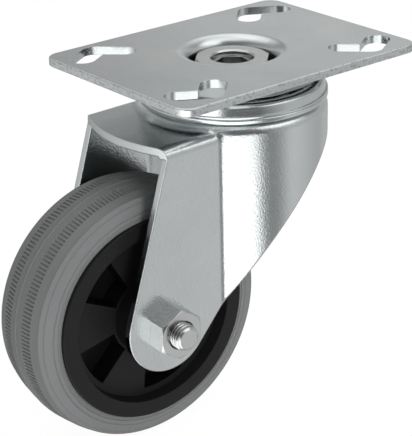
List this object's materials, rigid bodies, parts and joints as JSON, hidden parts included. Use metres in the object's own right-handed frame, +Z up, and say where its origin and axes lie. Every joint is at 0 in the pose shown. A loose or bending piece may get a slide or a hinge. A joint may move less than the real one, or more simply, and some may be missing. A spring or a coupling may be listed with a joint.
{
  "type": "swivel castor",
  "caption": "Plate-mounted swivel castor: pressed steel fork on a double ball race, with a grey rubber tyred wheel on a black plastic rim and a roller bearing.",
  "frame": {"origin": "on the swivel axis, in the plane of the plate's top face", "axes": "+Z up out of the plate's top face along the swivel axis, X along the plate's long side with the wheel trailing towards -X, Y along the plate's short side"},
  "size_m": [0.1571, 0.084, 0.1404],
  "materials": {
    "zinc_plate": "zinc plated, satin",
    "zinc_fastener": "zinc plated, bright",
    "polished_steel": "ground and polished",
    "polymer_cage": "moulded",
    "black_plastic": "moulded, satin",
    "grey_rubber": "moulded, matt"
  },
  "bodies": {
    "head": {"top_plate": "zinc_plate", "upper_race": "zinc_plate", "king_nut": "zinc_fastener", "king_bolt": "zinc_fastener", "king_washer": "zinc_plate"},
    "upper_ball_row": {"upper_balls": "polished_steel", "upper_ball_cage": "polymer_cage"},
    "lower_ball_row": {"lower_balls": "polished_steel", "lower_ball_cage": "polymer_cage"},
    "fork_frame": {"fork": "zinc_plate", "lower_race": "zinc_plate", "crown_ring": "zinc_plate", "axle_bolt": "zinc_fastener", "axle_nut": "zinc_fastener", "axle_sleeve": "polished_steel", "hub_cap_left": "zinc_plate", "hub_cap_right": "zinc_plate"},
    "roller_row": {"bearing_rollers": "polished_steel", "roller_cage": "polymer_cage"},
    "wheel": {"wheel_rim": "black_plastic", "tyre": "grey_rubber", "bearing_shell": "polished_steel"}
  },
  "joints": [
    {"name": "swivel", "type": "hinge", "parent": "head", "child": "fork_frame", "pos_m": [0, 0, -0.015], "axis": [0, 0, 1], "continuous": true},
    {"name": "wheel_spin", "type": "hinge", "parent": "fork_frame", "child": "wheel", "pos_m": [-0.05012, 0.00289, -0.0904], "axis": [0.0576, 0.9983, 0], "continuous": true},
    {"name": "upper_row_roll", "type": "hinge", "parent": "head", "child": "upper_ball_row", "pos_m": [0, 0, -0.00788], "axis": [0, 0, 1], "continuous": true},
    {"name": "lower_row_roll", "type": "hinge", "parent": "head", "child": "lower_ball_row", "pos_m": [0, 0, -0.02252], "axis": [0, 0, 1], "continuous": true},
    {"name": "roller_row_roll", "type": "hinge", "parent": "fork_frame", "child": "roller_row", "pos_m": [-0.05012, 0.00289, -0.0904], "axis": [0.0576, 0.9983, 0], "continuous": true}
  ],
  "couplings": [
    {"joint": "upper_row_roll", "follows": "swivel", "ratio": 0.5},
    {"joint": "lower_row_roll", "follows": "swivel", "ratio": 0.5},
    {"joint": "roller_row_roll", "follows": "wheel_spin", "ratio": 0.6124}
  ]
}
